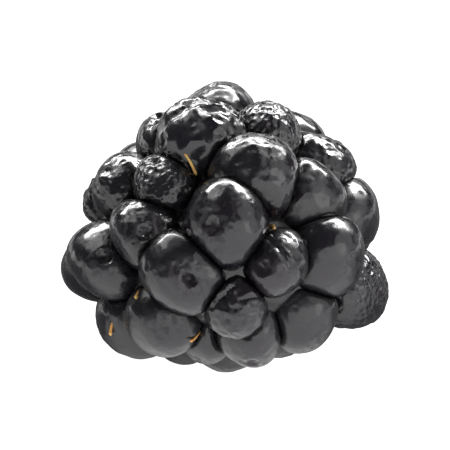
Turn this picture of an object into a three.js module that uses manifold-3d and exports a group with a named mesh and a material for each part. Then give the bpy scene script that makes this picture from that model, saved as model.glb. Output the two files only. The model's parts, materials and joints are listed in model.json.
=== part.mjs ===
// A ripe bramble berry, picked without its calyx and lying on its side.
// Millimetres, +Z up. The fruit's axis lies along Y: the tip points to -Y, the stem end to +Y.
// The origin is on the surface it rests on, at the bottom centre of its bounding box.
import * as THREE from "three";
import { mergeVertices } from "three/addons/utils/BufferGeometryUtils.js";
import Module from "manifold-3d";

const wasm = await Module();
wasm.setup();

// Driving dimensions of the whole fruit
const LENGTH = 24.6;
const WIDTH = 22.1;
const HEIGHT = 18.2;
const EGG = 0.02; // how much wider the stem half is than the tip half
const SAG = 0.21; // how much wider the underside is than the top
const FLAT = 0.27; // how much flatter the underside is than the top

// Drupelets
const DRUPELETS = 43;
const RADIUS = 2.96; // mean radius, measured round the drupelet
const BULGE = 1.1; // outward reach of a drupelet over its radius
const SIZE_SPREAD = 0.15;
const TIP_SHRINK = 0.16; // drupelets at the tip are smaller by this share
const TIP_START = 0.55; // share of the half length where they start to shrink
const STEM_EDGE = 0.86; // share of the half length where the last drupelets sit
const STEM_LIMIT = 0.9; // share of the half length that none starts beyond
const STRETCH = 0.18; // drupelets are up to this much longer than wide
const SQUEEZE = 0.4; // share of the stretch that a drupelet loses in width
const LUMP = 0.045; // uneven swelling of each drupelet
const LUMP_WAVES = 3;
const LUMP_TWIST = 2;
const UNEVEN = 0.5; // range over which drupelets stand proud or sunk
const SEED = 1588;

// How the drupelets push each other into place
const JITTER = 0.62; // range of a drupelet's start round the fruit, in radians
const JITTER_ALONG = 0.062; // and along it, in half lengths
const ROUNDS = 60;
const PUSH = 0.17;
const REACH = 1.15;
const STEM_CLEAR = 3.2; // radius kept free for the receptacle

// Where the fruit rests
const SETTLE = 1.0; // drupelets this near the table sink to it
const PRESS = 0.14; // depth by which the table flattens them

// The receptacle, the pale plug that the drupelets grow on
const PLUG_RADIUS = 2.3;
const PLUG_TIP_RADIUS = 1.3;
const PLUG_LENGTH = 7.5;
const PLUG_NOSE = 0.9; // length of its rounded inner end
const PLUG_TAPER = 6.0; // distance from the inner end where it reaches its full radius
const PLUG_BEVEL = 0.3;
const PLUG_CUP = 0.5; // depth of the torn hollow in its outer end
const PLUG_CUP_RADIUS = 0.9;
const PLUG_SUNK = 2.2; // how far its outer end lies below the fruit's stem end
const PLUG_GAP = 0.3;

// Fineness of the solids
const SIDES = 18;
const RINGS = 11;
const CORE_DETAIL = 3;
const PLUG_SIDES = 24;
const NOSE_STEPS = 4;
const CORE_SHARE = 1.04; // the core's size over that of the surface through the drupelets' centres

const REACH_OUT = RADIUS * BULGE;
const HALF = new THREE.Vector3(WIDTH / 2 - REACH_OUT, LENGTH / 2 - REACH_OUT, HEIGHT / 2 - REACH_OUT);

// Repeatable draws from 0 to 1, by a linear congruential rule in 32 bits
function makeDraws(seed) {
  const factor = 1664525;
  const step = 1013904223;
  let state = seed;
  return () => {
    state = (Math.imul(factor, state) + step) >>> 0;
    return state / 2 ** 32;
  };
}

// Half sizes, in a unit direction, of the egg-shaped surface through the drupelets' centres
function spreadAt(direction) {
  const girth = 1 + EGG * direction.y;
  return new THREE.Vector3(
    HALF.x * girth * (1 - SAG * direction.z),
    HALF.y,
    HALF.z * girth * (1 + FLAT * direction.z),
  );
}

function centreAt(direction) {
  return direction.clone().multiply(spreadAt(direction));
}

// Drupelets start on a golden-angle spiral, from the tip to the stem end
function spiral(draw) {
  const goldenAngle = Math.PI * (3 - Math.sqrt(5));
  const placed = [];
  for (let i = 0; i < DRUPELETS; i++) {
    const turn = goldenAngle * i + JITTER * (draw() - 0.5);
    let along = -1 + ((1 + STEM_EDGE) * (i + 0.5)) / DRUPELETS;
    along += JITTER_ALONG * (draw() - 0.5);
    along = Math.min(Math.max(along, -1), STEM_LIMIT);
    const tip = 1 - (TIP_SHRINK * Math.max(0, -along - TIP_START)) / (1 - TIP_START);
    const radius = RADIUS * tip * (1 + SIZE_SPREAD * 2 * (draw() - 0.5));
    const ring = Math.sqrt(Math.max(0, 1 - along * along));
    const direction = new THREE.Vector3(ring * Math.cos(turn), along, ring * Math.sin(turn));
    placed.push({ direction, radius });
  }
  return placed;
}

// Each drupelet pushes its neighbours aside until all are evenly crowded
function crowd(placed) {
  const stem = { direction: new THREE.Vector3(0, 1, 0), radius: STEM_CLEAR };
  for (let round = 0; round < ROUNDS; round++) {
    const others = [...placed, stem];
    const centres = others.map((d) => centreAt(d.direction));
    const moved = placed.map((drupelet, i) => {
      const point = centres[i].clone();
      others.forEach((other, j) => {
        if (i === j) return;
        const away = centres[i].clone().sub(centres[j]);
        const overlap = REACH * (drupelet.radius + other.radius) - away.length();
        if (overlap > 0) point.add(away.setLength(overlap * PUSH));
      });
      return point.divide(spreadAt(drupelet.direction)).normalize();
    });
    moved.forEach((direction, i) => {
      placed[i].direction = direction;
    });
  }
  return placed;
}

// A drupelet's own axes: outward, along the fruit and round it
function axesOf(direction) {
  const outward = direction.clone().divide(HALF).normalize();
  const round = new THREE.Vector3(0, 1, 0).cross(outward).normalize();
  const along = outward.clone().cross(round);
  return { outward, round, along };
}

// Furthest reach of a drupelet from its centre towards a unit vector
function reachOf(drupelet, towards) {
  const { outward, round, along } = drupelet.axes;
  return Math.hypot(
    outward.dot(towards) * drupelet.radius * BULGE,
    round.dot(towards) * drupelet.radius * drupelet.narrow,
    along.dot(towards) * drupelet.radius * drupelet.long,
  );
}

function makeDrupelets() {
  const draw = makeDraws(SEED);
  const drupelets = crowd(spiral(draw));
  for (const drupelet of drupelets) {
    const stretch = STRETCH * draw();
    drupelet.axes = axesOf(drupelet.direction);
    drupelet.centre = centreAt(drupelet.direction);
    drupelet.centre.addScaledVector(drupelet.axes.outward, UNEVEN * (draw() - 0.5));
    drupelet.long = 1 + stretch;
    drupelet.narrow = 1 - stretch * SQUEEZE;
    drupelet.phases = [draw(), draw(), draw()].map((x) => x * 2 * Math.PI);
  }
  return settle(drupelets);
}

// The lowest drupelets sink until they share the table, and the box is centred on the origin
function settle(drupelets) {
  const down = new THREE.Vector3(0, 0, -1);
  const bottom = (d) => d.centre.z - reachOf(d, down);
  const table = Math.min(...drupelets.map(bottom));
  for (const drupelet of drupelets) {
    const height = bottom(drupelet) - table;
    if (height < SETTLE) drupelet.centre.z -= height;
  }
  const middle = (axis) => {
    const ends = drupelets.flatMap((d) => [
      d.centre.dot(axis) + reachOf(d, axis),
      d.centre.dot(axis) - reachOf(d, axis),
    ]);
    return (Math.max(...ends) + Math.min(...ends)) / 2;
  };
  const shift = new THREE.Vector3(
    -middle(new THREE.Vector3(1, 0, 0)),
    -middle(new THREE.Vector3(0, 1, 0)),
    -table - PRESS,
  );
  for (const drupelet of drupelets) drupelet.centre.add(shift);
  return { drupelets, shift };
}

// A closed geometry as a solid that can be cut and joined
function toSolid(geometry) {
  const bare = geometry.clone();
  bare.deleteAttribute("normal");
  bare.deleteAttribute("uv");
  const merged = mergeVertices(bare);
  return new wasm.Manifold(
    new wasm.Mesh({
      numProp: 3,
      vertProperties: merged.getAttribute("position").array,
      triVerts: new Uint32Array(merged.index.array),
    }),
  );
}

function toGeometry(solid) {
  const mesh = solid.getMesh();
  const geometry = new THREE.BufferGeometry();
  geometry.setAttribute("position", new THREE.BufferAttribute(mesh.vertProperties, 3));
  geometry.setIndex(new THREE.BufferAttribute(mesh.triVerts, 1));
  geometry.computeVertexNormals();
  return geometry;
}

function drupeletGeometry(drupelet) {
  const geometry = new THREE.SphereGeometry(1, SIDES, RINGS).rotateX(Math.PI / 2);
  const position = geometry.getAttribute("position");
  const { outward, round, along } = drupelet.axes;
  const [p, q, s] = drupelet.phases;
  const point = new THREE.Vector3();
  for (let i = 0; i < position.count; i++) {
    point.fromBufferAttribute(position, i);
    const wave = Math.sin(LUMP_WAVES * point.x + p);
    const twist = Math.sin(LUMP_WAVES * point.y + q) * Math.cos(LUMP_TWIST * point.z + s);
    const size = drupelet.radius * (1 + LUMP * (wave + twist));
    const made = drupelet.centre
      .clone()
      .addScaledVector(round, point.x * size * drupelet.narrow)
      .addScaledVector(along, point.y * size * drupelet.long)
      .addScaledVector(outward, point.z * size * BULGE);
    position.setXYZ(i, made.x, made.y, made.z);
  }
  return geometry;
}

// The flesh under the drupelets, which holds them together
function coreGeometry(shift) {
  const geometry = new THREE.IcosahedronGeometry(1, CORE_DETAIL);
  const position = geometry.getAttribute("position");
  const point = new THREE.Vector3();
  for (let i = 0; i < position.count; i++) {
    point.fromBufferAttribute(position, i);
    const made = centreAt(point).multiplyScalar(CORE_SHARE).add(shift);
    position.setXYZ(i, made.x, made.y, made.z);
  }
  return geometry;
}

// A round solid along Y: the plug grown by a gap, then the given outer end.
// The points are (radius, distance from the plug's inner end).
function plugGeometry(gap, outerEnd) {
  const profile = [];
  for (let i = 0; i <= NOSE_STEPS; i++) {
    const angle = ((i / NOSE_STEPS) * Math.PI) / 2;
    const radius = (PLUG_TIP_RADIUS + gap) * Math.sin(angle);
    profile.push(new THREE.Vector2(radius, PLUG_NOSE - (PLUG_NOSE + gap) * Math.cos(angle)));
  }
  profile.push(new THREE.Vector2(PLUG_RADIUS + gap, PLUG_TAPER));
  return new THREE.LatheGeometry([...profile, ...outerEnd], PLUG_SIDES);
}

const { drupelets, shift } = makeDrupelets();
const stemward = new THREE.Vector3(0, 1, 0);
const stemEnd = Math.max(...drupelets.map((d) => d.centre.y + reachOf(d, stemward)));
const plugStart = new THREE.Vector3(shift.x, stemEnd - PLUG_SUNK - PLUG_LENGTH, shift.z);

const plug = plugGeometry(0, [
  new THREE.Vector2(PLUG_RADIUS, PLUG_LENGTH - PLUG_BEVEL),
  new THREE.Vector2(PLUG_RADIUS - PLUG_BEVEL, PLUG_LENGTH),
  new THREE.Vector2(PLUG_CUP_RADIUS, PLUG_LENGTH - PLUG_CUP),
  new THREE.Vector2(0, PLUG_LENGTH - PLUG_CUP),
]).translate(plugStart.x, plugStart.y, plugStart.z);

const socketLength = PLUG_LENGTH + 2 * PLUG_SUNK;
const socket = plugGeometry(PLUG_GAP, [
  new THREE.Vector2(PLUG_RADIUS + PLUG_GAP, socketLength),
  new THREE.Vector2(0, socketLength),
]).translate(plugStart.x, plugStart.y, plugStart.z);

const table = new THREE.BoxGeometry(2 * WIDTH, 2 * LENGTH, HEIGHT).translate(0, 0, -HEIGHT / 2);

let flesh = toSolid(coreGeometry(shift));
for (const drupelet of drupelets) flesh = flesh.add(toSolid(drupeletGeometry(drupelet)));
flesh = flesh.subtract(toSolid(table)).subtract(toSolid(socket));

const skin = new THREE.MeshStandardMaterial({ color: 0x17131a, roughness: 0.22, metalness: 0 });
const pith = new THREE.MeshStandardMaterial({ color: 0x8a8556, roughness: 0.75, metalness: 0 });

const berry = new THREE.Group();
const drupeletMesh = new THREE.Mesh(toGeometry(flesh), skin);
drupeletMesh.name = "drupelets";
const receptacle = new THREE.Mesh(plug, pith);
receptacle.name = "receptacle";
berry.add(drupeletMesh, receptacle);

export default berry;
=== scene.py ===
# One ripe bramble berry lying on its side: glossy black drupelets, an olive-brown receptacle
# and a few dried styles.
# The growth rule works in millimetres, as the solids' own source does, and meshes are made in metres.
import json
import math
import bmesh
import bpy
import numpy as np
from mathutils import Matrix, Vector, noise

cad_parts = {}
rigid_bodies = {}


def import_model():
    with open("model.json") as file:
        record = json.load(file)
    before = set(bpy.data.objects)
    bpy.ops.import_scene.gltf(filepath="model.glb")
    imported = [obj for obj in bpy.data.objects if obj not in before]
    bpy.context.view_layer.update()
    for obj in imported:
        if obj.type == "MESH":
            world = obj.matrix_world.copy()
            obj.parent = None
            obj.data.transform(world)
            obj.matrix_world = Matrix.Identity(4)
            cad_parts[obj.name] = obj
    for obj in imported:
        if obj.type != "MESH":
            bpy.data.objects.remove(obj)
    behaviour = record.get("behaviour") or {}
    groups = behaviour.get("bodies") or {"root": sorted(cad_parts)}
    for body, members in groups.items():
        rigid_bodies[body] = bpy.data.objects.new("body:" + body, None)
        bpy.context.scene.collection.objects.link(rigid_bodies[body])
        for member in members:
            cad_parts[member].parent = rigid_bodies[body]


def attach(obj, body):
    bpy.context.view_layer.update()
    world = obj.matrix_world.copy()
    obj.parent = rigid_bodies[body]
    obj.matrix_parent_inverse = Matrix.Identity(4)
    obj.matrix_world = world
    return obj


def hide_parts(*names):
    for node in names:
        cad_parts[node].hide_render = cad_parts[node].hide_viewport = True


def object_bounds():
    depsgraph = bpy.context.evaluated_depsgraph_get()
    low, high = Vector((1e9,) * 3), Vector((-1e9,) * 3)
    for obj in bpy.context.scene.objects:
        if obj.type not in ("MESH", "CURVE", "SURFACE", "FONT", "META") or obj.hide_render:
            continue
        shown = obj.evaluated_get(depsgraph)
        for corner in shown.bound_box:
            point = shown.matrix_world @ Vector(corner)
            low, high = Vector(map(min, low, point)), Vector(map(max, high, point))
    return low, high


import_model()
cad_low, cad_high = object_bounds()

MM = 0.001

# The whole fruit
LENGTH = 24.6
WIDTH = 22.1
HEIGHT = 18.2
EGG = 0.02  # how much wider the stem half is than the tip half
SAG = 0.21  # how much wider the underside is than the top
FLAT = 0.27  # how much flatter the underside is than the top

# Drupelets
DRUPELETS = 43
RADIUS = 2.96
BULGE = 1.1
SIZE_SPREAD = 0.15
TIP_SHRINK = 0.16
TIP_START = 0.55
STEM_EDGE = 0.86
STEM_LIMIT = 0.9
STRETCH = 0.18
SQUEEZE = 0.4
LUMP = 0.045
LUMP_WAVES = 3
LUMP_TWIST = 2
UNEVEN = 0.5
SEED = 1588

# How the drupelets push each other into place
JITTER = 0.62
JITTER_ALONG = 0.062
ROUNDS = 60
PUSH = 0.17
REACH = 1.15
STEM_CLEAR = 3.2

# Where the fruit rests
SETTLE = 1.0
PRESS = 0.14

# The receptacle
PLUG_RADIUS = 2.3
PLUG_TIP_RADIUS = 1.3
PLUG_LENGTH = 7.5
PLUG_NOSE = 0.9
PLUG_TAPER = 6.0
PLUG_CUP = 0.5
PLUG_SUNK = 2.2
PLUG_GAP = 0.3
PLUG_SIDES = 96
NOSE_STEPS = 8
CUP_STEPS = 20
SOCKET_SIDES = 48
CORE_SHARE = 1.04

# Its torn end: a ragged collar that lies on the flesh, and a scrap left at its side
COLLAR_INNER = 0.25  # radians from the fruit's axis, seen from its middle
COLLAR_OUTER = 0.62
COLLAR_RAGGED = 0.2
COLLAR_THICKNESS = 0.16
COLLAR_SIDES = 96
COLLAR_STEPS = 8
COLLAR_WAVES = 2.2
COLLAR_SLICE = 4  # where the noise is cut
COLLAR_BUMPS = 14
COLLAR_BUMP_HEIGHT = 0.16
COLLAR_TINT_FROM = 0.3  # distance past the plug's side where the collar's own colour starts
COLLAR_TINT_FADE = 0.8
PLUG_PROUD = 0.4  # how far the torn end stands out past the solid's
PLUG_FLARE = ((0.1, -0.6), (0.22, -0.25), (0.05, 0.0))  # its rim past the plug's radius and length
CUP_EDGE = 0.1
RIDGES = ((0.06, 19, 0), (0.09, 7, 1), (0.1, 3, 2))  # height, number round the plug, phase
TORN_DEPTH = 0.45
TORN_FINE = 0.5  # the fine tearing's share of the coarse
TORN_PITCH = 3  # how many times finer it is
TORN_SLICES = (3, 1)  # where the noise is cut
SCRAP_TURN = 2.6
SCRAP_SIZE = 0.62
SCRAP_SHAPE = (1.3, 0.7, 1.0)
SCRAP_DETAIL = 4
SCRAP_LUMP = 0.35
SCRAP_LUMP_PITCH = 2.2
SCRAP_TINT = 0.9  # share of the scrap's size over which its colour fades

# Fine form of a drupelet
SPHERE_DETAIL = 5
APEX_FOCUS = 0.8  # below 1, more of the mesh lies round the apex
ROUNDING = 12  # how sharply a drupelet's side turns flat against its neighbour
OVERLAP = 0.1  # how far neighbours reach past the plane between them
NEAR = 0.4  # drupelets this near each other press
PIT_RADIUS = 0.14  # radians
PIT_DEPTH = 0.5
PIT_RIM = 0.06
PIT_RIM_AT = 1.7  # where the rim is highest, in pit radii
PIT_RIM_WIDTH = 0.5
PIT_LEAST = 0.3  # a drupelet pitted less than this has only a dimple
DIMPLE_RADIUS = 0.42
DIMPLE_DEPTH = 0.09
DENT_RADIUS = 0.24
DENT_DEPTH = 0.22
CREASE_WIDTH = 0.07
CREASE_DEPTH = 0.16
CREASE_TO_LIP = 3  # how many times deeper a crease is than the lip beside it is high
LIP_AT = 2  # where that lip is highest, in crease widths
SWELL = 0.03
SWELL_PITCH = 2.6  # swells to a radius
SWELL_WRINKLED = 2
FOLD = 0.03
FOLD_PITCH = (2.6, 4.6, 3.2)
FOLD_LEVEL = 0.2  # the noise above which a fold sinks
RIPPLE_PITCH = 9.0
PEBBLE_PITCH = 7.5  # pebbles to a radius
PEBBLE_DEPTH = 0.13
PEBBLE_LEAST = 0.2  # a drupelet pebbled less than this has its pebbles only in the material
WRINKLE = 8  # how many times deeper the folds of a wrinkled drupelet are

# What the seeded draws give the drupelets that aren't named below
LOOKS_SEED = 58
APEX_TILT = (0.05, 0.38)  # radians
WRINKLE_RARITY = 3
PEBBLE_RARITY = 2
DENTED_SHARE = 0.35
DENT_OUTWARD = 1.2
NOISE_SPREAD = 50

# Per-vertex values for the skin's material
# Width of the painted shade that darkens the skin in the creases between drupelets
CREVICE_SHADE_WIDTH = 0.25
CORE_FADE = 0.04
CORE_DEPTH = 1.03

# Edges sharper than this stay sharp, in degrees
SKIN_SHARP = 32
PITH_SHARP = 40
STYLE_SHARP = 60

# Drupelets are numbered from the tip, along the spiral. Places on one are given in shares of its
# radius, rightward and upward from its middle as the camera sees it.
MARKS = {1: (0.1, -0.2), 4: (-0.1, -0.3), 6: (-0.3, 0.0), 9: (-0.2, 0.12), 16: (-0.2, 0.3), 17: (-0.3, 0.1)}
DENTS = {0: ((0.15, 0.3), (-0.35, 0.1)), 3: ((-0.5, 0.35), (-0.3, -0.1)), 16: ((-0.6, 0.1),)}
CREASES = {0: (((-0.7, -0.1), (0.3, 0.7)), ((0.1, 0.1), (0.75, 0.2))), 3: (((-0.2, 0.7), (0.5, -0.3)),)}
PITTED = {0: 0.3, 1: 1.0, 3: 0.2, 4: 0.2, 5: 0.1, 6: 0.5, 8: 0.2, 9: 0.7, 13: 0.3}
WRINKLED = {0: 0.6, 1: 0.2, 4: 0.1, 5: 0.1, 8: 0.1, 11: 0.5, 14: 0.5, 19: 1.7, 24: 0.6, 32: 0.5}
WINE = {34: 0.5, 38: 0.9}
PEBBLED = {
    0: 0.1, 1: 0.1, 3: 0.1, 4: 0.0, 5: 0.0, 6: 0.2, 8: 0.1, 9: 0.3,
    11: 0.25, 13: 1.0, 14: 0.8, 16: 0.1, 17: 0.2, 19: 0.0, 24: 1.0,
}

# Gaps that hold a dried style: it leans away from the first drupelet, between the other two
STYLED_GAPS = ((6, 14, 19), (17, 1, 4), (7, 0, 4), (17, 4, 12), (16, 3, 6), (32, 19, 24), (29, 34, 37))
STYLE_ROOT = 0.6  # how deep in the gap a style starts
STYLES_SEED = 7
STYLE_LENGTH = (1.4, 1.9)
STYLE_WIDTH = (0.12, 0.16)
STYLE_BEND = (0.7, 1.3)  # radians
STYLE_CURL = 0.6
STYLE_STEPS = 12
STYLE_SIDES = 6
STYLE_TAPER = 0.45
BLOB_FROM = 0.85  # share of its length where a style's end swells
BLOB_WIDTH = 0.95
END_WIDTH = 0.35
SIDEWAYS = (0.3, 0.5, 0.8)  # a direction that no style runs along
DESCENT_STEPS = 200

# How fine the materials' patches and grain are, in waves to a metre
SKIN_PATCHES = 320.0
WINE_PATCHES = 260.0
SKIN_GRAIN = 1500.0
SKIN_CELLS = 2300.0
GLOSS_PATCHES = 1100.0
MATTE_PATCHES = 2200.0
PITH_PALE_PATCHES = 900.0
PITH_BROWN_PATCHES = 1300.0
PITH_GLOSS_PATCHES = 2000.0
PITH_FIBRES = 2600.0
STYLE_PATCHES = 1500.0
STYLE_GRAIN = 9000.0
TABLE_PATCHES = 3.0

# Heights of the materials' grain, in metres
SKIN_GRAIN_HEIGHT = 0.00008
SKIN_CELL_HEIGHT = 0.00013
PITH_FIBRE_HEIGHT = 0.00012
STYLE_GRAIN_HEIGHT = 0.00002

# Roughness: from the glossiest to the dullest patch, and what a matte patch adds
SKIN_ROUGHNESS = (0.19, 0.38)
MATTE_ROUGHNESS = 0.4
PITH_ROUGHNESS = (0.5, 0.85)
PEBBLED_LEAST = 0.12  # share of the pebbled grain that smooth skin keeps

# The camera, in degrees and metres
CAMERA_AZIMUTH = -4
CAMERA_ELEVATION = 22
CAMERA_DISTANCE = 0.7
FRAME_WIDTH = 0.0305
SENSOR = 36
CLIP_START = 0.01
CLIP_END = 10

# A hidden dark sheet under and behind the fruit, seen only in its gloss: painted shade in its reflections
SHADE_FRONT = -8
SHADE_BACK = 120
SHADE_SIDE = 60
SHADE_LIFT = 0.02
SHADE_FADE = 7
SHADE_GLOW = 1.2

# The table and the room
TABLE_HALF = 1500
TABLE_GLOW = 1.05
ROOM = (0.07, 0.07, 0.075)
WHITE = (1, 1, 1)

# Softboxes: name, azimuth from the camera's, elevation, distance, width, height, radiance, and
# whether they act on gloss only
SOFTBOXES = (
    ("behind", 175, 43, 0.6, 1.2, 0.17, 19.0, True),
    ("window", 135, 52, 0.55, 0.12, 0.08, 70.0, True),
    ("upper_left", -110, 50, 0.6, 0.25, 0.3, 2.5, False),
    ("front", 28, 17, 0.6, 1.2, 0.36, 1.6, False),
    ("right", 75, 30, 0.6, 0.6, 0.6, 0.9, False),
)


def make_draws(seed):
    """The growth rule's repeatable draws from 0 to 1, by a linear congruential rule in 32 bits."""
    factor = 1664525
    step = 1013904223
    size = 2**32
    state = seed
    while True:
        state = (factor * state + step) % size
        yield state / size


def unit(vectors):
    return vectors / np.linalg.norm(vectors, axis=-1, keepdims=True)


REACH_OUT = RADIUS * BULGE
HALF = np.array([WIDTH / 2 - REACH_OUT, LENGTH / 2 - REACH_OUT, HEIGHT / 2 - REACH_OUT])


def spread_at(directions):
    """Half sizes, in unit directions, of the egg-shaped surface through the drupelets' centres."""
    girth = 1 + EGG * directions[:, 1]
    widths = HALF[0] * girth * (1 - SAG * directions[:, 2])
    heights = HALF[2] * girth * (1 + FLAT * directions[:, 2])
    return np.stack([widths, np.full_like(widths, HALF[1]), heights], axis=1)


def centre_at(directions):
    return directions * spread_at(directions)


def spiral(draw):
    """Drupelets start on a golden-angle spiral, from the tip to the stem end."""
    golden_angle = math.pi * (3 - math.sqrt(5))
    directions = np.zeros((DRUPELETS, 3))
    radii = np.zeros(DRUPELETS)
    for i in range(DRUPELETS):
        turn = golden_angle * i + JITTER * (next(draw) - 0.5)
        along = -1 + (1 + STEM_EDGE) * (i + 0.5) / DRUPELETS
        along += JITTER_ALONG * (next(draw) - 0.5)
        along = min(max(along, -1), STEM_LIMIT)
        tip = 1 - TIP_SHRINK * max(0, -along - TIP_START) / (1 - TIP_START)
        radii[i] = RADIUS * tip * (1 + SIZE_SPREAD * 2 * (next(draw) - 0.5))
        ring = math.sqrt(max(0, 1 - along * along))
        directions[i] = ring * math.cos(turn), along, ring * math.sin(turn)
    return directions, radii


def crowd(directions, radii):
    """Each drupelet pushes its neighbours aside until all are evenly crowded."""
    count = len(radii)
    stem = np.array([[0.0, 1.0, 0.0]])
    wanted = REACH * (radii[:, None] + np.append(radii, STEM_CLEAR)[None, :])
    for _ in range(ROUNDS):
        centres = centre_at(np.vstack([directions, stem]))
        away = centres[:count, None] - centres[None]
        distance = np.linalg.norm(away, axis=2)
        distance[np.arange(count), np.arange(count)] = np.inf
        push = np.clip(wanted - distance, 0, None) * PUSH / distance
        moved = centres[:count] + (away * push[:, :, None]).sum(1)
        directions = unit(moved / spread_at(directions))
    return directions


class Drupelets:
    """Every drupelet's centre, axes (round the fruit, along it, outward), radii along them and phases."""

    def __init__(self):
        draw = make_draws(SEED)
        directions, self.radii = spiral(draw)
        directions = crowd(directions, self.radii)
        outward = unit(directions / HALF)
        round_axis = unit(np.cross([0.0, 1.0, 0.0], outward))
        along = np.cross(outward, round_axis)
        self.axes = np.stack([round_axis, along, outward], axis=1)
        self.phases = np.zeros((DRUPELETS, 3))
        stretch = np.zeros(DRUPELETS)
        lift = np.zeros(DRUPELETS)
        for i in range(DRUPELETS):
            stretch[i] = STRETCH * next(draw)
            lift[i] = UNEVEN * (next(draw) - 0.5)
            for k in range(3):
                self.phases[i, k] = next(draw) * 2 * math.pi
        self.centres = centre_at(directions) + outward * lift[:, None]
        shares = np.stack([1 - stretch * SQUEEZE, 1 + stretch, np.full(DRUPELETS, BULGE)], axis=1)
        self.sizes = self.radii[:, None] * shares
        self.settle()

    def reach(self, towards):
        """Furthest reach of each drupelet from its centre towards a unit vector."""
        return np.linalg.norm((self.axes @ np.asarray(towards, float)) * self.sizes, axis=1)

    def settle(self):
        """The lowest drupelets sink until they share the table, and the box is centred on the origin."""
        bottom = self.centres[:, 2] - self.reach((0, 0, -1))
        table = bottom.min()
        low = bottom - table < SETTLE
        self.centres[low, 2] -= (bottom - table)[low]
        self.shift = np.array([0, 0, -table - PRESS])
        for k in range(2):
            reach = self.reach(np.eye(3)[k])
            high = (self.centres[:, k] + reach).max()
            self.shift[k] = -(high + (self.centres[:, k] - reach).min()) / 2
        self.centres += self.shift

    def nearness(self, points):
        """For each point and drupelet: the distance to its centre over its size that way."""
        offsets = points[:, None] - self.centres[None]
        local = np.einsum("pdk,dak->pda", offsets, self.axes)
        return np.linalg.norm(local / self.sizes[None], axis=2)


def around(azimuth, elevation, distance=1.0, centre=(0, 0, 0)):
    a, e = math.radians(azimuth), math.radians(elevation)
    way = Vector((math.sin(a) * math.cos(e), -math.cos(a) * math.cos(e), math.sin(e)))
    return Vector(centre) + way * distance


def camera_sees(place):
    """The unit vector, in the fruit's space, to a place given rightward and upward as the camera sees it."""
    towards = np.array(around(CAMERA_AZIMUTH, CAMERA_ELEVATION))
    right = unit(np.cross([0, 0, 1.0], towards))
    up = np.cross(towards, right)
    return right * place[0] + up * place[1] + towards * math.sqrt(1 - place[0] ** 2 - place[1] ** 2)


class Looks:
    """What makes each drupelet different: its apex, its dents and how wrinkled or pebbled it is."""

    def __init__(self, drupelets):
        rng = np.random.default_rng(LOOKS_SEED)
        count = DRUPELETS
        tilt = rng.uniform(*APEX_TILT, count)
        turn = rng.uniform(0, 2 * math.pi, count)
        across = np.sin(tilt)
        self.apex = np.stack([across * np.cos(turn), across * np.sin(turn), np.cos(tilt)], axis=1)
        self.pitted = rng.uniform(size=count)
        self.wrinkle = rng.uniform(size=count) ** WRINKLE_RARITY
        self.pebble = rng.uniform(size=count) ** PEBBLE_RARITY
        self.wine = np.zeros(count)
        self.offset = rng.uniform(-NOISE_SPREAD, NOISE_SPREAD, (count, 3))
        ways = unit(rng.normal(size=(count, 3)) + [0, 0, DENT_OUTWARD])
        self.dents = [[way] if rng.uniform() < DENTED_SHARE else [] for way in ways]
        for values, named in (
            (self.pitted, PITTED),
            (self.wrinkle, WRINKLED),
            (self.pebble, PEBBLED),
            (self.wine, WINE),
        ):
            for i, value in named.items():
                values[i] = value
        for i, place in MARKS.items():
            self.apex[i] = drupelets.axes[i] @ camera_sees(place)
        for i, places in DENTS.items():
            self.dents[i] = [drupelets.axes[i] @ camera_sees(place) for place in places]
        self.creases = [[] for _ in range(count)]
        for i, lines in CREASES.items():
            self.creases[i] = [[drupelets.axes[i] @ camera_sees(end) for end in line] for line in lines]


def unit_sphere(detail, focus):
    """An icosphere's points and triangles, gathered towards +Z by a map that keeps its triangles' shapes."""
    ball = bmesh.new()
    bmesh.ops.create_icosphere(ball, subdivisions=detail, radius=1)
    points = np.array([v.co for v in ball.verts])
    faces = [[v.index for v in f.verts] for f in ball.faces]
    ball.free()
    above = 1 + points[:, 2]
    below = focus**2 * (1 - points[:, 2])
    scale = 2 * focus / (above + below)
    height = (above - below) / (above + below)
    gathered = np.stack([points[:, 0] * scale, points[:, 1] * scale, height], axis=1)
    return unit(gathered), faces


def angle_from(points, way):
    return np.arccos(np.clip(points @ way, -1, 1))


def skin_relief(points, i, looks):
    """How far the skin of drupelet i stands proud at points of its unit sphere, in millimetres."""
    relief = np.zeros(len(points))
    from_apex = angle_from(points, looks.apex[i])
    if looks.pitted[i] > PIT_LEAST:
        share = from_apex / PIT_RADIUS
        relief -= PIT_DEPTH * looks.pitted[i] * np.exp(-(share**4))
        relief += PIT_RIM * looks.pitted[i] * np.exp(-(((share - PIT_RIM_AT) / PIT_RIM_WIDTH) ** 2))
    relief -= DIMPLE_DEPTH * looks.pitted[i] * np.exp(-((from_apex / DIMPLE_RADIUS) ** 2))
    for way in looks.dents[i]:
        relief -= DENT_DEPTH * np.exp(-((angle_from(points, way) / DENT_RADIUS) ** 3))
    for start, end in looks.creases[i]:
        across = unit(np.cross(start, end))
        middle = unit(start + end)
        half = angle_from(start[None], middle)[0]
        fade = np.exp(-((angle_from(points, middle) / half) ** 4))
        beside = points @ across / CREASE_WIDTH
        relief -= CREASE_DEPTH * fade * np.exp(-(beside**2))
        relief += CREASE_DEPTH / CREASE_TO_LIP * fade * np.exp(-((beside - LIP_AT) ** 2))
    shifted = points + looks.offset[i]
    swell = np.array([noise.noise(Vector(p * SWELL_PITCH)) for p in shifted])
    relief += swell * SWELL * (1 + SWELL_WRINKLED * looks.wrinkle[i])
    folds = np.array([abs(noise.noise(Vector(p * FOLD_PITCH))) for p in shifted])
    relief += (FOLD_LEVEL - folds) * FOLD * (1 + WRINKLE * looks.wrinkle[i])
    ripples = np.array([noise.noise(Vector(p * RIPPLE_PITCH)) for p in shifted])
    relief += ripples * FOLD * looks.wrinkle[i]
    if looks.pebble[i] > PEBBLE_LEAST:
        pebbles = np.array([noise.voronoi(Vector(p * PEBBLE_PITCH))[0][0] for p in shifted])
        relief -= pebbles * PEBBLE_DEPTH * looks.pebble[i]
    return relief


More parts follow.
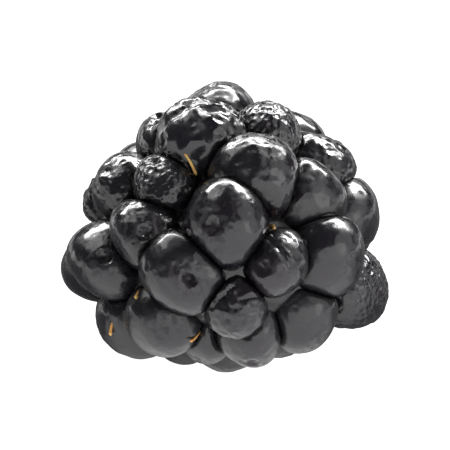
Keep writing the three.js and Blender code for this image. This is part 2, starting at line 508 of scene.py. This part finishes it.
def drupelet_points(drupelets, looks, i, sphere):
    """The surface of drupelet i, swollen against its neighbours and the table."""
    waves = drupelets.phases[i]
    wave = np.sin(LUMP_WAVES * sphere[:, 0] + waves[0])
    twist = np.sin(LUMP_WAVES * sphere[:, 1] + waves[1]) * np.cos(LUMP_TWIST * sphere[:, 2] + waves[2])
    lump = 1 + LUMP * (wave + twist)
    local = sphere * drupelets.sizes[i] * lump[:, None]
    offsets = local @ drupelets.axes[i]
    reach = np.linalg.norm(offsets, axis=1)
    ways = offsets / reach[:, None]
    reach += skin_relief(sphere, i, looks)
    pressed = reach**-ROUNDING
    to_others = drupelets.centres - drupelets.centres[i]
    distances = np.linalg.norm(to_others, axis=1)
    for j in np.argsort(distances)[1:]:
        towards = to_others[j] / distances[j]
        own = 1 / np.linalg.norm((drupelets.axes[i] @ towards) / drupelets.sizes[i])
        other = 1 / np.linalg.norm((drupelets.axes[j] @ towards) / drupelets.sizes[j])
        if distances[j] > own + other + NEAR:
            continue
        plane = (distances[j] ** 2 + own**2 - other**2) / (2 * distances[j]) + OVERLAP
        pressed += (np.clip(ways @ towards, 0, None) / plane) ** ROUNDING
    height = drupelets.centres[i, 2]
    if height < 2 * RADIUS:
        pressed += (np.clip(-ways[:, 2], 0, None) / (height + OVERLAP)) ** ROUNDING
    points = drupelets.centres[i] + ways * (pressed ** (-1 / ROUNDING))[:, None]
    points[:, 2] = np.maximum(points[:, 2], 0)
    return points


def mesh_object(name, points, faces):
    """A mesh object from points in millimetres."""
    mesh = bpy.data.meshes.new(name)
    mesh.from_pydata((np.asarray(points) * MM).tolist(), [], faces)
    piece = bpy.data.objects.new(name, mesh)
    bpy.context.scene.collection.objects.link(piece)
    return piece


def lathe(profile, sides, shift):
    """A closed round solid along Y from (radius, distance) points that start and end on the axis."""
    points = [(0, profile[0][1], 0)]
    for radius, along in profile[1:-1]:
        for k in range(sides):
            angle = 2 * math.pi * k / sides
            points.append((radius * math.cos(angle), along, radius * math.sin(angle)))
    points.append((0, profile[-1][1], 0))
    rings = len(profile) - 2
    last = len(points) - 1
    faces = []
    for k in range(sides):
        after = (k + 1) % sides
        faces.append((0, 1 + k, 1 + after))
        for ring in range(rings - 1):
            low = 1 + ring * sides
            high = low + sides
            faces.append((low + k, high + k, high + after, low + after))
        top = 1 + (rings - 1) * sides
        faces.append((last, top + after, top + k))
    return np.array(points) + shift, faces


def plug_side(gap):
    """The plug's side, grown by a gap, as (radius, distance from its inner end)."""
    side = []
    for i in range(NOSE_STEPS + 1):
        angle = i / NOSE_STEPS * math.pi / 2
        radius = (PLUG_TIP_RADIUS + gap) * math.sin(angle)
        side.append((radius, PLUG_NOSE - (PLUG_NOSE + gap) * math.cos(angle)))
    side.append((PLUG_RADIUS + gap, PLUG_TAPER))
    return side


def core_object(drupelets):
    """The flesh under the drupelets, which holds them together."""
    sphere, faces = unit_sphere(SPHERE_DETAIL, 1.0)
    return mesh_object("drupelets_fine", centre_at(sphere) * CORE_SHARE + drupelets.shift, faces)


def boolean(piece, operation, operand):
    """Joins or cuts a piece with an object or a collection, and removes what it used."""
    modifier = piece.modifiers.new("join", "BOOLEAN")
    modifier.operation = operation
    modifier.solver = "MANIFOLD"
    if isinstance(operand, bpy.types.Collection):
        modifier.operand_type = "COLLECTION"
        modifier.collection = operand
    else:
        modifier.object = operand
    graph = bpy.context.evaluated_depsgraph_get()
    made = bpy.data.meshes.new_from_object(piece.evaluated_get(graph))
    piece.modifiers.clear()
    piece.data = made
    made.materials.clear()
    used = list(operand.objects) if isinstance(operand, bpy.types.Collection) else [operand]
    for other in used:
        bpy.data.objects.remove(other)


def build_drupelets(drupelets, looks, plug_start):
    """All drupelets and the flesh under them as one closed mesh, with the receptacle's socket cut out."""
    piece = core_object(drupelets)
    sphere, faces = unit_sphere(SPHERE_DETAIL, APEX_FOCUS)
    group = bpy.data.collections.new("drupelet_group")
    bpy.context.scene.collection.children.link(group)
    for i in range(DRUPELETS):
        single = mesh_object("drupelet", drupelet_points(drupelets, looks, i, sphere), faces)
        bpy.context.scene.collection.objects.unlink(single)
        group.objects.link(single)
    boolean(piece, "UNION", group)
    bpy.data.collections.remove(group)
    far = PLUG_LENGTH + 2 * PLUG_SUNK
    profile = plug_side(PLUG_GAP) + [(PLUG_RADIUS + PLUG_GAP, far), (0, far)]
    points, faces = lathe(profile, SOCKET_SIDES, plug_start)
    socket = mesh_object("socket", points, faces)
    boolean(piece, "DIFFERENCE", socket)
    return piece


def vertex_array(mesh):
    points = np.zeros(len(mesh.vertices) * 3)
    mesh.vertices.foreach_get("co", points)
    return points.reshape(-1, 3)


def add_attribute(mesh, name, values):
    attribute = mesh.attributes.new(name, "FLOAT", "POINT")
    attribute.data.foreach_set("value", np.asarray(values, np.float32))


def mark_drupelets(piece, drupelets, looks):
    """Per-vertex values that the skin's material reads."""
    points = vertex_array(piece.data) / MM
    near = drupelets.nearness(points)
    order = np.argsort(near, axis=1)
    owner = order[:, 0]
    rows = np.arange(len(points))
    first = near[rows, owner]
    second = near[rows, order[:, 1]]
    offsets = points - drupelets.centres[owner]
    local = np.einsum("pk,pak->pa", offsets, drupelets.axes[owner]) / drupelets.sizes[owner]
    from_apex = np.arccos(np.clip((unit(local) * looks.apex[owner]).sum(1), -1, 1))
    add_attribute(piece.data, "wine", looks.wine[owner])
    add_attribute(piece.data, "apex", from_apex)
    add_attribute(piece.data, "pitted", looks.pitted[owner])
    add_attribute(piece.data, "pebble", looks.pebble[owner])
    # Painted shade: a mask that is 1 where a point lies about as near its neighbouring drupelet as its own,
    # in the creases between them
    add_attribute(piece.data, "painted_crevice_shade", np.clip(1 - (second - first) / CREVICE_SHADE_WIDTH, 0, 1))
    inner = (points - drupelets.shift) / CORE_SHARE
    depth = np.linalg.norm(inner / spread_at(unit(inner / HALF)), axis=1)
    past_drupelet = np.clip((first - 1) / CORE_FADE, 0, 1)
    add_attribute(piece.data, "core", past_drupelet * (depth < CORE_DEPTH))


def smooth(piece, degrees):
    mesh = piece.data
    mesh.polygons.foreach_set("use_smooth", [True] * len(mesh.polygons))
    mesh.set_sharp_from_angle(angle=math.radians(degrees))


class Nodes:
    """Short names for building a material's nodes."""

    def __init__(self, name):
        self.material = bpy.data.materials.new(name)
        self.material.use_nodes = True
        self.tree = self.material.node_tree
        self.shader = self.tree.nodes["Principled BSDF"]

    def link(self, source, target):
        self.tree.links.new(source, target)

    def set(self, node, **values):
        for name, value in values.items():
            socket = node.inputs[name.replace("_", " ")]
            if isinstance(value, bpy.types.NodeSocket):
                self.link(value, socket)
            else:
                socket.default_value = value

    def attribute(self, name):
        node = self.tree.nodes.new("ShaderNodeAttribute")
        node.attribute_name = name
        return node.outputs["Fac"]

    def place(self):
        return self.tree.nodes.new("ShaderNodeTexCoord").outputs["Object"]

    def noise(self, scale, detail=3.0, roughness=0.55, distortion=0.0):
        node = self.tree.nodes.new("ShaderNodeTexNoise")
        self.set(node, Vector=self.place(), Scale=scale, Detail=detail)
        self.set(node, Roughness=roughness, Distortion=distortion)
        return node.outputs["Fac"]

    def cells(self, scale, randomness=1.0):
        node = self.tree.nodes.new("ShaderNodeTexVoronoi")
        node.feature = "SMOOTH_F1"
        self.set(node, Vector=self.place(), Scale=scale, Randomness=randomness, Smoothness=0.6)
        return node.outputs["Distance"]

    def math(self, operation, first, second=0.0):
        node = self.tree.nodes.new("ShaderNodeMath")
        node.operation = operation
        for socket, value in zip(node.inputs, (first, second)):
            if isinstance(value, bpy.types.NodeSocket):
                self.link(value, socket)
            else:
                socket.default_value = value
        return node.outputs[0]

    def span(self, value, low, high, to_low=0.0, to_high=1.0):
        node = self.tree.nodes.new("ShaderNodeMapRange")
        node.interpolation_type = "SMOOTHSTEP"
        self.link(value, node.inputs["Value"])
        node.inputs["From Min"].default_value = low
        node.inputs["From Max"].default_value = high
        node.inputs["To Min"].default_value = to_low
        node.inputs["To Max"].default_value = to_high
        return node.outputs["Result"]

    def mix(self, share, first, second):
        node = self.tree.nodes.new("ShaderNodeMix")
        node.data_type = "RGBA"
        self.link(share, node.inputs["Factor"])
        for name, value in (("A", first), ("B", second)):
            socket = [s for s in node.inputs if s.name == name and s.type == "RGBA"][0]
            if isinstance(value, bpy.types.NodeSocket):
                self.link(value, socket)
            else:
                socket.default_value = (*value, 1)
        return [s for s in node.outputs if s.type == "RGBA"][0]

    def bump(self, height, distance, strength=1.0, below=None):
        node = self.tree.nodes.new("ShaderNodeBump")
        self.set(node, Height=height, Distance=distance, Strength=strength)
        if below is not None:
            self.link(below, node.inputs["Normal"])
        return node.outputs["Normal"]


def skin_material():
    """Near-black berry skin with a wet gloss, pebbled and dimpled, with painted shade in the creases between
    drupelets.
    """
    n = Nodes("berry_skin")
    black = (0.011, 0.011, 0.014)
    violet = (0.014, 0.010, 0.014)
    wine = (0.10, 0.006, 0.009)
    scar = (0.010, 0.006, 0.004)
    flesh = (0.010, 0.008, 0.007)
    # painted shade: the near-black colour put into the creases between drupelets
    painted_crevice_shade = (0.004, 0.003, 0.004)
    colour = n.mix(n.span(n.noise(SKIN_PATCHES), 0.45, 0.7), black, violet)
    wine_patches = n.span(n.noise(WINE_PATCHES, 2.0), 0.54, 0.64)
    wine_share = n.math("MULTIPLY", wine_patches, n.attribute("wine"))
    colour = n.mix(wine_share, colour, wine)
    # Painted shade: the skin darkens in the creases between drupelets
    colour = n.mix(n.attribute("painted_crevice_shade"), colour, painted_crevice_shade)
    scar_share = n.math(
        "MULTIPLY",
        n.span(n.attribute("apex"), 0.05, 0.1, 1.0, 0.0),
        n.span(n.attribute("pitted"), 0.3, 0.4),
    )
    colour = n.mix(scar_share, colour, scar)
    core = n.attribute("core")
    colour = n.mix(core, colour, flesh)
    pebbled = n.span(n.attribute("pebble"), 0.0, 1.0, PEBBLED_LEAST, 1.0)
    coarse = n.bump(n.math("MULTIPLY", n.noise(SKIN_GRAIN, 2.0), pebbled), SKIN_GRAIN_HEIGHT, 0.9)
    fine = n.bump(n.math("MULTIPLY", n.cells(SKIN_CELLS), pebbled), SKIN_CELL_HEIGHT, 1.0, coarse)
    rough = n.span(n.noise(GLOSS_PATCHES, 4.0), 0.35, 0.7, *SKIN_ROUGHNESS)
    near_apex = n.span(n.attribute("apex"), 0.25, 0.7, 1.0, 0.0)
    matte = n.math("MULTIPLY", near_apex, n.span(n.noise(MATTE_PATCHES), 0.45, 0.6))
    matte = n.math("MAXIMUM", n.math("MAXIMUM", core, scar_share), matte)
    rough = n.math("ADD", rough, n.math("MULTIPLY", matte, MATTE_ROUGHNESS))
    n.set(n.shader, Base_Color=colour, Roughness=rough, Normal=fine, Coat_Normal=fine)
    n.set(n.shader, IOR=1.5, Coat_Weight=0.35, Coat_Roughness=0.11, Coat_IOR=1.5)
    return n.material


def pith_material():
    """Moist fibrous olive pith, browned where it tore."""
    n = Nodes("berry_pith")
    olive = (0.10, 0.085, 0.034)
    pale = (0.22, 0.20, 0.10)
    brown = (0.050, 0.030, 0.014)
    torn_flesh = (0.028, 0.019, 0.010)
    colour = n.mix(n.span(n.noise(PITH_PALE_PATCHES, 4.0), 0.42, 0.7), olive, pale)
    colour = n.mix(n.span(n.noise(PITH_BROWN_PATCHES, 4.0), 0.46, 0.62), colour, brown)
    colour = n.mix(n.attribute("scrap"), colour, pale)
    colour = n.mix(n.attribute("collar"), colour, torn_flesh)
    fibre = n.bump(n.noise(PITH_FIBRES, 5.0), PITH_FIBRE_HEIGHT)
    rough = n.span(n.noise(PITH_GLOSS_PATCHES), 0.3, 0.7, *PITH_ROUGHNESS)
    n.set(n.shader, Base_Color=colour, Roughness=rough, Normal=fibre)
    n.set(n.shader, Specular_IOR_Level=0.25)
    return n.material


def style_material():
    """Dry tan hairs."""
    n = Nodes("berry_style")
    orange = (0.78, 0.33, 0.08)
    straw = (0.80, 0.52, 0.16)
    colour = n.mix(n.span(n.noise(STYLE_PATCHES), 0.4, 0.6), orange, straw)
    grain = n.bump(n.noise(STYLE_GRAIN), STYLE_GRAIN_HEIGHT)
    n.set(n.shader, Base_Color=colour, Roughness=0.55, Normal=grain)
    return n.material


def floor_material():
    """Pale table, bright enough to show in the gloss of the drupelets."""
    n = Nodes("table")
    grey = (0.82, 0.82, 0.82)
    pale = (0.86, 0.86, 0.86)
    n.set(n.shader, Base_Color=n.mix(n.noise(TABLE_PATCHES), grey, pale), Roughness=0.9)
    n.set(n.shader, Emission_Color=(*WHITE, 1), Emission_Strength=TABLE_GLOW)
    return n.material


def shade_material():
    """A dark sheet standing in for shaded ground behind the fruit, painted shade in the drupelets' gloss;
    its front edge glows as bright as the table and fades to dark.
    """
    n = Nodes("shade")
    split = n.tree.nodes.new("ShaderNodeSeparateXYZ")
    n.link(n.place(), split.inputs[0])
    fade_end = (SHADE_FRONT + SHADE_FADE) * MM
    glow = n.span(split.outputs["Y"], SHADE_FRONT * MM, fade_end, SHADE_GLOW, 0.0)
    n.set(n.shader, Base_Color=(0.1, 0.1, 0.1, 1), Roughness=0.9)
    n.set(n.shader, Emission_Color=(*WHITE, 1), Emission_Strength=glow)
    return n.material


def collar_object(shift):
    """A thin ragged ring of torn flesh that lies on the flesh round the plug."""
    sheets = []
    for lift in (COLLAR_THICKNESS / 2, -COLLAR_THICKNESS / 2):
        rings = []
        for i in range(COLLAR_STEPS + 1):
            ring = []
            for k in range(COLLAR_SIDES):
                turn = 2 * math.pi * k / COLLAR_SIDES
                spot = (math.cos(turn) * COLLAR_WAVES, math.sin(turn) * COLLAR_WAVES, COLLAR_SLICE)
                ragged = noise.noise(Vector(spot))
                outer = COLLAR_OUTER + COLLAR_RAGGED * ragged
                tilt = COLLAR_INNER + (outer - COLLAR_INNER) * i / COLLAR_STEPS
                across = math.sin(tilt)
                way = np.array([across * math.cos(turn), math.cos(tilt), across * math.sin(turn)])
                bumps = noise.noise(Vector(way * COLLAR_BUMPS)) * COLLAR_BUMP_HEIGHT * (lift > 0)
                ring.append(centre_at(way[None])[0] * CORE_SHARE + way * (lift + bumps) + shift)
            rings.append(ring)
        sheets.append(rings)
    rings = sheets[0] + sheets[1][::-1]
    points = [point for ring in rings for point in ring]
    faces = []
    for i in range(len(rings)):
        low = i * COLLAR_SIDES
        high = (i + 1) % len(rings) * COLLAR_SIDES
        for k in range(COLLAR_SIDES):
            after = (k + 1) % COLLAR_SIDES
            faces.append((low + k, low + after, high + after, high + k))
    return mesh_object("collar", points, faces)


def torn_at(x, z):
    """How far the torn end stands out at a place across it, from coarse and fine tearing."""
    coarse = noise.noise(Vector((x, TORN_SLICES[0], z)))
    return coarse + TORN_FINE * noise.noise(Vector((x * TORN_PITCH, TORN_SLICES[1], z * TORN_PITCH)))


def build_receptacle(plug_start, shift):
    """The plug with its ridged side, the torn hollow in its outer end, its collar and a scrap of flesh."""
    profile = plug_side(0.0) + [(PLUG_RADIUS + out, PLUG_LENGTH + along) for out, along in PLUG_FLARE]
    for i in range(1, CUP_STEPS + 1):
        share = i / CUP_STEPS
        radius = (PLUG_RADIUS - CUP_EDGE) * (1 - share)
        profile.append((radius, PLUG_LENGTH - PLUG_CUP * math.sin(share * math.pi / 2)))
    points, faces = lathe(profile, PLUG_SIDES, np.zeros(3))
    radius = np.hypot(points[:, 0], points[:, 2])
    turn = np.arctan2(points[:, 2], points[:, 0])
    outer = np.clip((points[:, 1] - PLUG_TAPER) / (PLUG_LENGTH - PLUG_TAPER), 0, 1)
    ridges = sum(height * np.sin(number * turn + phase) for height, number, phase in RIDGES)
    torn = np.array([torn_at(x, z) for x, _, z in points])
    middle = np.clip(radius / PLUG_RADIUS, 0, 1)
    points[:, 0] += np.cos(turn) * ridges * middle * outer
    points[:, 2] += np.sin(turn) * ridges * middle * outer
    points[:, 1] += outer * (PLUG_PROUD + torn * TORN_DEPTH + ridges * middle)
    piece = mesh_object("receptacle_fine", points + plug_start, faces)
    boolean(piece, "UNION", collar_object(shift))
    sphere, faces = unit_sphere(SCRAP_DETAIL, 1.0)
    lumps = np.array([1 + SCRAP_LUMP * noise.noise(Vector(p * SCRAP_LUMP_PITCH)) for p in sphere])
    rim = np.array([math.cos(SCRAP_TURN) * PLUG_RADIUS, PLUG_LENGTH, math.sin(SCRAP_TURN) * PLUG_RADIUS])
    scrap_place = plug_start + rim + (0, PLUG_PROUD, 0)
    scrap_sizes = [SCRAP_SIZE * share for share in SCRAP_SHAPE]
    scrap = mesh_object("scrap", sphere * lumps[:, None] * scrap_sizes + scrap_place, faces)
    boolean(piece, "UNION", scrap)
    made = vertex_array(piece.data) / MM
    near_scrap = np.linalg.norm(made - scrap_place, axis=1)
    add_attribute(piece.data, "scrap", np.clip(2 - near_scrap / (SCRAP_SIZE * SCRAP_TINT), 0, 1))
    from_axis = np.hypot(made[:, 0] - plug_start[0], made[:, 2] - plug_start[2])
    past_plug = np.clip((from_axis - PLUG_RADIUS - COLLAR_TINT_FROM) / COLLAR_TINT_FADE, 0, 1)
    add_attribute(piece.data, "collar", past_plug * (near_scrap > SCRAP_SIZE))
    smooth(piece, PITH_SHARP)
    return piece


def hair(path, thickness):
    """A tapered tube with a blob at its end, as points and faces."""
    path = np.asarray(path)
    sides = STYLE_SIDES
    points = []
    faces = []
    count = len(path)
    for i, centre in enumerate(path):
        ahead = path[min(i + 1, count - 1)] - path[max(i - 1, 0)]
        ahead = ahead / np.linalg.norm(ahead)
        side = np.cross(ahead, SIDEWAYS)
        side /= np.linalg.norm(side)
        other = np.cross(ahead, side)
        share = i / (count - 1)
        width = thickness * (1 - STYLE_TAPER * share)
        if share > BLOB_FROM:
            width = thickness * BLOB_WIDTH
        if i in (0, count - 1):
            width *= END_WIDTH
        for k in range(sides):
            angle = 2 * math.pi * k / sides
            points.append(centre + (side * math.cos(angle) + other * math.sin(angle)) * width)
        if i:
            low = (i - 1) * sides
            for k in range(sides):
                after = (k + 1) % sides
                faces.append((low + k, low + after, low + sides + after, low + sides + k))
    faces.append(tuple(range(sides - 1, -1, -1)))
    faces.append(tuple(range((count - 1) * sides, count * sides)))
    return points, faces


def build_styles(drupelets):
    """Dried styles, short and curled, caught in gaps between drupelets."""
    rng = np.random.default_rng(STYLES_SEED)
    points = []
    faces = []
    for gap in STYLED_GAPS:
        three = list(gap)
        middle = drupelets.centres[three].mean(axis=0)
        out = unit(drupelets.axes[three, 2].mean(axis=0))
        descent = middle + out * np.linspace(2 * RADIUS, 0, DESCENT_STEPS)[:, None]
        inside = drupelets.nearness(descent).min(axis=1) < 1
        place = descent[np.argmax(inside)] - out * STYLE_ROOT
        away = middle - drupelets.centres[gap[0]]
        lean = unit(away - out * (away @ out))
        curl = np.cross(out, lean) * rng.uniform(-STYLE_CURL, STYLE_CURL)
        length = rng.uniform(*STYLE_LENGTH)
        bend = rng.uniform(*STYLE_BEND)
        path = [place]
        for k in range(STYLE_STEPS):
            share = k / STYLE_STEPS
            way = unit(out * math.cos(bend * share) + lean * math.sin(bend * share) + curl * share)
            place = place + way * length / STYLE_STEPS
            path.append(place)
        more, more_faces = hair(path, rng.uniform(*STYLE_WIDTH))
        base = len(points)
        points.extend(more)
        faces.extend(tuple(base + v for v in face) for face in more_faces)
    piece = mesh_object("styles", points, faces)
    smooth(piece, STYLE_SHARP)
    return piece


def aim(thing, target):
    way = Vector(target) - thing.location
    thing.rotation_euler = way.to_track_quat("-Z", "Y").to_euler()


def area_light(name, azimuth, elevation, distance, width, height, radiance, gloss_only, centre):
    """A softbox of a given radiance. Its azimuth is counted from the camera's."""
    light = bpy.data.lights.new(name, "AREA")
    light.shape = "RECTANGLE"
    light.size = width
    light.size_y = height
    light.energy = radiance * math.pi * width * height
    lamp = bpy.data.objects.new(name, light)
    bpy.context.scene.collection.objects.link(lamp)
    lamp.location = around(CAMERA_AZIMUTH + azimuth, elevation, distance, centre)
    lamp.visible_camera = False
    lamp.visible_diffuse = not gloss_only
    aim(lamp, centre)


def build_stage(centre):
    """The table, the softboxes, a dark room that shows white behind the table, and the camera."""
    size = TABLE_HALF
    corners = [(-size, -size, 0), (size, -size, 0), (size, size, 0), (-size, size, 0)]
    floor = mesh_object("table", corners, [(0, 1, 2, 3)])
    floor.data.materials.append(floor_material())
    for softbox in SOFTBOXES:
        area_light(*softbox, centre)
    corners = [
        (-SHADE_SIDE, SHADE_FRONT, SHADE_LIFT),
        (SHADE_SIDE, SHADE_FRONT, SHADE_LIFT),
        (SHADE_SIDE, SHADE_BACK, SHADE_LIFT),
        (-SHADE_SIDE, SHADE_BACK, SHADE_LIFT),
    ]
    # A dark sheet seen only by gloss rays: painted shade in the drupelets' reflections
    shade = mesh_object("shade", corners, [(0, 1, 2, 3)])
    shade.rotation_euler.z = math.radians(CAMERA_AZIMUTH)
    shade.visible_camera = False
    shade.visible_diffuse = False
    shade.visible_shadow = False
    shade.data.materials.append(shade_material())
    world = bpy.data.worlds.new("room")
    bpy.context.scene.world = world
    world.use_nodes = True
    tree = world.node_tree
    background = tree.nodes["Background"]
    seen = tree.nodes.new("ShaderNodeLightPath")
    mix = tree.nodes.new("ShaderNodeMix")
    mix.data_type = "RGBA"
    mix.inputs[6].default_value = (*ROOM, 1)
    mix.inputs[7].default_value = (*WHITE, 1)
    tree.links.new(seen.outputs["Is Camera Ray"], mix.inputs[0])
    tree.links.new(mix.outputs[2], background.inputs["Color"])
    camera = bpy.data.objects.new("camera", bpy.data.cameras.new("camera"))
    bpy.context.scene.collection.objects.link(camera)
    camera.location = around(CAMERA_AZIMUTH, CAMERA_ELEVATION, CAMERA_DISTANCE, centre)
    aim(camera, centre)
    camera.data.sensor_width = SENSOR
    camera.data.lens = SENSOR * CAMERA_DISTANCE / FRAME_WIDTH
    camera.data.clip_start = CLIP_START
    camera.data.clip_end = CLIP_END
    bpy.context.scene.camera = camera
    bpy.context.scene.view_settings.view_transform = "Standard"


drupelets = Drupelets()
looks = Looks(drupelets)
stem_end = (drupelets.centres[:, 1] + drupelets.reach((0, 1, 0))).max()
plug_start = np.array([drupelets.shift[0], stem_end - PLUG_SUNK - PLUG_LENGTH, drupelets.shift[2]])

flesh = build_drupelets(drupelets, looks, plug_start)
mark_drupelets(flesh, drupelets, looks)
smooth(flesh, SKIN_SHARP)
flesh.data.materials.append(skin_material())
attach(flesh, "root")
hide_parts("drupelets")

receptacle = build_receptacle(plug_start, drupelets.shift)
receptacle.data.materials.append(pith_material())
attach(receptacle, "root")
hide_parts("receptacle")

styles = build_styles(drupelets)
styles.data.materials.append(style_material())
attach(styles, "root")

build_stage((cad_low + cad_high) / 2)

pieces = (flesh, receptacle, styles)
print("triangles", {p.name: sum(len(f.vertices) - 2 for f in p.data.polygons) for p in pieces})
